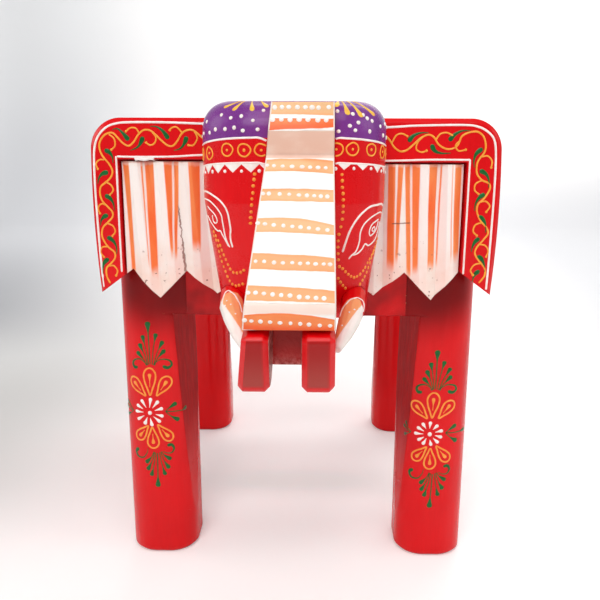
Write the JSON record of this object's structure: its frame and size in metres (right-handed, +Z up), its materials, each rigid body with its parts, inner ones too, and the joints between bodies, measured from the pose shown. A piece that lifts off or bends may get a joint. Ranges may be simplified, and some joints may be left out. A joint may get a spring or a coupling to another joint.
{
  "type": "carved elephant stool",
  "caption": "Low carved and painted wooden stool in the form of an elephant, with a flat seat on its back, ear boards with pleated linings and a banded trunk.",
  "frame": {"origin": "on the floor, at the centre of the bounding box", "axes": "+X to the right as seen by someone facing the elephant, +Y from trunk to tail, +Z up"},
  "size_m": [0.236, 0.3898, 0.2992],
  "materials": {
    "red_painted_wood": "gloss varnish over red enamel",
    "purple_red_painted_wood": "gloss varnish over purple and red enamel",
    "cream_orange_painted_wood": "satin varnish over cream and orange paint",
    "ivory_painted_wood": "satin varnish over ivory and orange paint",
    "bare_wood": "unfinished",
    "screw_steel": "plain"
  },
  "bodies": {
    "root": {"body_block": "red_painted_wood", "seat_board": "purple_red_painted_wood", "leg_front_left": "red_painted_wood", "leg_front_right": "red_painted_wood", "leg_rear_left": "red_painted_wood", "leg_rear_right": "red_painted_wood", "head_block": "purple_red_painted_wood", "trunk": "cream_orange_painted_wood", "tusk_left": "ivory_painted_wood", "tusk_right": "ivory_painted_wood", "ear_board_left": "red_painted_wood", "ear_board_right": "red_painted_wood", "ear_pleats_left": "cream_orange_painted_wood", "ear_pleats_right": "cream_orange_painted_wood", "tail": "red_painted_wood", "leg_dowels": "bare_wood", "seat_dowels": "bare_wood", "head_dowels": "bare_wood", "trunk_dowels": "bare_wood", "tail_peg": "bare_wood", "ear_screws": "screw_steel"}
  },
  "joints": []
}
